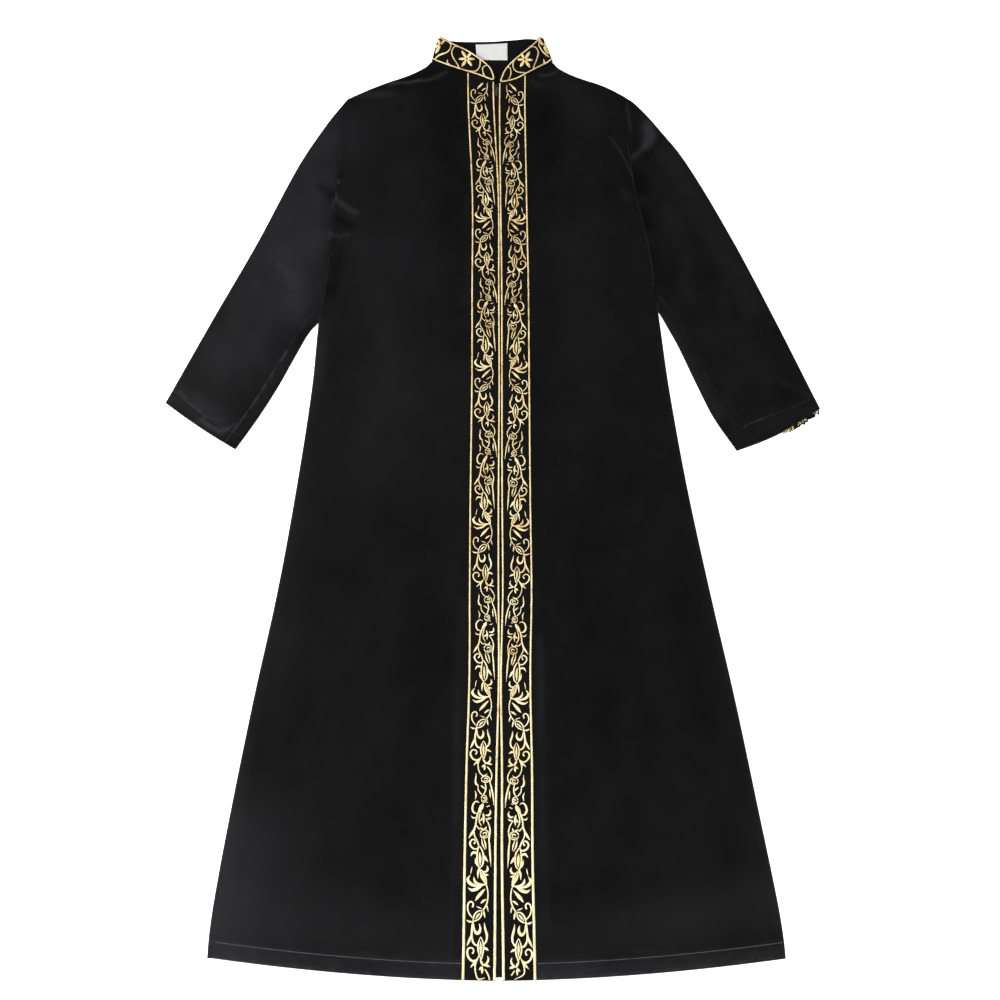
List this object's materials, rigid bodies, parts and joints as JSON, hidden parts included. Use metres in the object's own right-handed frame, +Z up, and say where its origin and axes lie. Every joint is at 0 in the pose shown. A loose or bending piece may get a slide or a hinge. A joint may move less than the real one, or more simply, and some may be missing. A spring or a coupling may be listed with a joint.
{
  "type": "thobe",
  "caption": "Long black thobe lying flat, face up, with a band collar, long sleeves, a hidden front zip with a hinged pull, and gold embroidered bands along the closing.",
  "frame": {"origin": "on the surface the robe lies on, under the middle of its box", "axes": "+Z up from the surface, +Y from the hem towards the collar, +X towards the wearer's left sleeve"},
  "size_m": [0.921, 1.392, 0.0118],
  "materials": {
    "satin": "black woven cloth with a soft sheen",
    "band": "matte black cloth under gold embroidery",
    "gold": "gold thread, satin stitched",
    "tape": "black woven zip tape",
    "label": "blank woven label",
    "metal": "dark nickel"
  },
  "bodies": {
    "thobe": {"back": "satin", "front_right": "satin", "front_left": "satin", "sleeve_right": "satin", "sleeve_left": "satin", "collar": "satin", "band_right": "band", "band_left": "band", "border_right_inner": "gold", "border_right_outer": "gold", "border_left_inner": "gold", "border_left_outer": "gold", "collar_border_right": "gold", "collar_border_left": "gold", "neck_label": "label", "zip_tape": "tape", "zip_slider": "metal"},
    "zip_pull": {"zip_pull": "metal"}
  },
  "joints": [
    {"name": "zip_pull_hinge", "type": "hinge", "parent": "thobe", "child": "zip_pull", "pos_m": [0.0052, 0.6106, 0.0056], "axis": [-1, 0, 0], "range_deg": [0, 150]}
  ]
}
